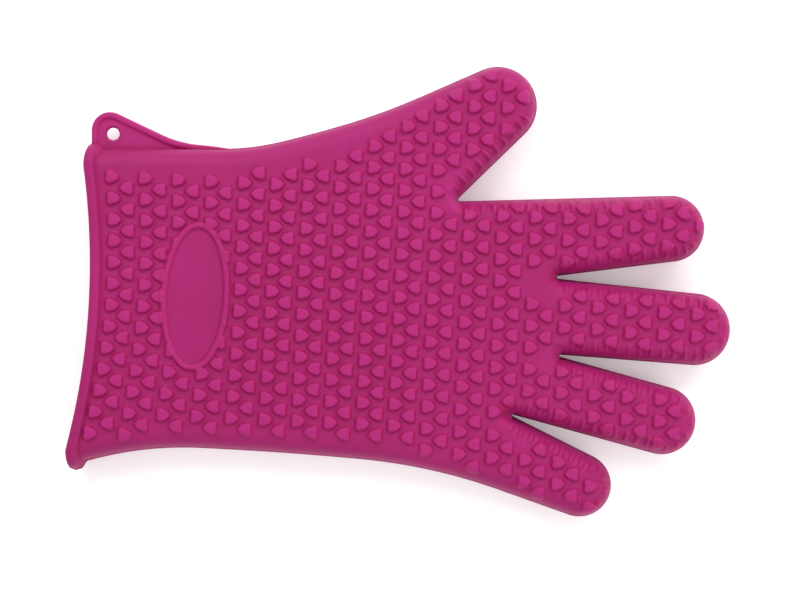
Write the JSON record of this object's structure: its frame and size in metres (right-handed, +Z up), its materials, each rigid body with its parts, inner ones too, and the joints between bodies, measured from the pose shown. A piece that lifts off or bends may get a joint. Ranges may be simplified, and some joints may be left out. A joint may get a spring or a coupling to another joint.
{
  "type": "heat resistant glove",
  "caption": "Silicone oven glove with separate fingers, a beaded cuff, a hanging tab and heart-shaped grip studs; the cuff and digits bend.",
  "frame": {"origin": "middle of the bottom of the glove's box, as it lies flat", "axes": "+X to the fingers, +Y to the thumb, +Z up out of the face with the oval frame"},
  "size_m": [0.2696, 0.1819, 0.0232],
  "materials": {
    "silicone": "satin"
  },
  "bodies": {
    "palm": {"index_root_fold": "silicone", "little_root_fold": "silicone", "middle_root_fold": "silicone", "palm_back_shell": "silicone", "palm_back_studs": "silicone", "palm_front_shell": "silicone", "palm_front_studs": "silicone", "ring_root_fold": "silicone", "thumb_root_fold": "silicone", "wrist_fold": "silicone"},
    "cuff": {"cuff_back_studs": "silicone", "cuff_bead": "silicone", "cuff_front_studs": "silicone", "cuff_shell": "silicone", "hanging_tab": "silicone", "label_frame": "silicone"},
    "thumb_base": {"thumb_base_shell": "silicone", "thumb_knuckle_fold": "silicone"},
    "thumb_tip": {"thumb_tip_back_studs": "silicone", "thumb_tip_front_studs": "silicone", "thumb_tip_shell": "silicone"},
    "index_base": {"index_base_back_studs": "silicone", "index_base_front_studs": "silicone", "index_base_shell": "silicone", "index_knuckle_fold": "silicone"},
    "index_tip": {"index_tip_back_studs": "silicone", "index_tip_front_studs": "silicone", "index_tip_shell": "silicone"},
    "middle_base": {"middle_base_back_studs": "silicone", "middle_base_front_studs": "silicone", "middle_base_shell": "silicone", "middle_knuckle_fold": "silicone"},
    "middle_tip": {"middle_tip_back_studs": "silicone", "middle_tip_front_studs": "silicone", "middle_tip_shell": "silicone"},
    "ring_base": {"ring_base_back_studs": "silicone", "ring_base_front_studs": "silicone", "ring_base_shell": "silicone", "ring_knuckle_fold": "silicone"},
    "ring_tip": {"ring_tip_back_studs": "silicone", "ring_tip_front_studs": "silicone", "ring_tip_shell": "silicone"},
    "little_base": {"little_base_shell": "silicone", "little_knuckle_fold": "silicone"},
    "little_tip": {"little_tip_shell": "silicone"}
  },
  "joints": [
    {"name": "wrist_bend", "type": "hinge", "parent": "palm", "child": "cuff", "pos_m": [-0.055, 0, 0.0116], "axis": [0, 1, 0], "range_deg": [0, 60], "stiffness_Nm_per_rad": 0.35, "deforming": ["wrist_fold"]},
    {"name": "thumb_root_bend", "type": "hinge", "parent": "palm", "child": "thumb_base", "pos_m": [0.01941, 0.06042, 0.0116], "axis": [0.557, -0.8305, 0], "range_deg": [0, 60], "stiffness_Nm_per_rad": 0.12, "deforming": ["thumb_root_fold"]},
    {"name": "thumb_knuckle_bend", "type": "hinge", "parent": "thumb_base", "child": "thumb_tip", "pos_m": [0.03685, 0.07211, 0.0116], "axis": [0.557, -0.8305, 0], "range_deg": [0, 60], "stiffness_Nm_per_rad": 0.08, "deforming": ["thumb_knuckle_fold"]},
    {"name": "index_root_bend", "type": "hinge", "parent": "palm", "child": "index_base", "pos_m": [0.07191, 0.02229, 0.0116], "axis": [0.0741, -0.9973, 0], "range_deg": [0, 60], "stiffness_Nm_per_rad": 0.12, "deforming": ["index_root_fold"]},
    {"name": "index_knuckle_bend", "type": "hinge", "parent": "index_base", "child": "index_tip", "pos_m": [0.09883, 0.02429, 0.0116], "axis": [0.0741, -0.9973, 0], "range_deg": [0, 60], "stiffness_Nm_per_rad": 0.08, "deforming": ["index_knuckle_fold"]},
    {"name": "middle_root_bend", "type": "hinge", "parent": "palm", "child": "middle_base", "pos_m": [0.0736, -0.01116, 0.0116], "axis": [-0.0924, -0.9957, 0], "range_deg": [0, 60], "stiffness_Nm_per_rad": 0.12, "deforming": ["middle_root_fold"]},
    {"name": "middle_knuckle_bend", "type": "hinge", "parent": "middle_base", "child": "middle_tip", "pos_m": [0.10447, -0.01402, 0.0116], "axis": [-0.0924, -0.9957, 0], "range_deg": [0, 60], "stiffness_Nm_per_rad": 0.08, "deforming": ["middle_knuckle_fold"]},
    {"name": "ring_root_bend", "type": "hinge", "parent": "palm", "child": "ring_base", "pos_m": [0.06817, -0.04148, 0.0116], "axis": [-0.2672, -0.9636, 0], "range_deg": [0, 60], "stiffness_Nm_per_rad": 0.12, "deforming": ["ring_root_fold"]},
    {"name": "ring_knuckle_bend", "type": "hinge", "parent": "ring_base", "child": "ring_tip", "pos_m": [0.09419, -0.04869, 0.0116], "axis": [-0.2672, -0.9636, 0], "range_deg": [0, 60], "stiffness_Nm_per_rad": 0.08, "deforming": ["ring_knuckle_fold"]},
    {"name": "little_root_bend", "type": "hinge", "parent": "palm", "child": "little_base", "pos_m": [0.04879, -0.06769, 0.0116], "axis": [-0.3923, -0.9198, 0], "range_deg": [0, 60], "stiffness_Nm_per_rad": 0.12, "deforming": ["little_root_fold"]},
    {"name": "little_knuckle_bend", "type": "hinge", "parent": "little_base", "child": "little_tip", "pos_m": [0.06718, -0.07554, 0.0116], "axis": [-0.3923, -0.9198, 0], "range_deg": [0, 60], "stiffness_Nm_per_rad": 0.08, "deforming": ["little_knuckle_fold"]}
  ]
}
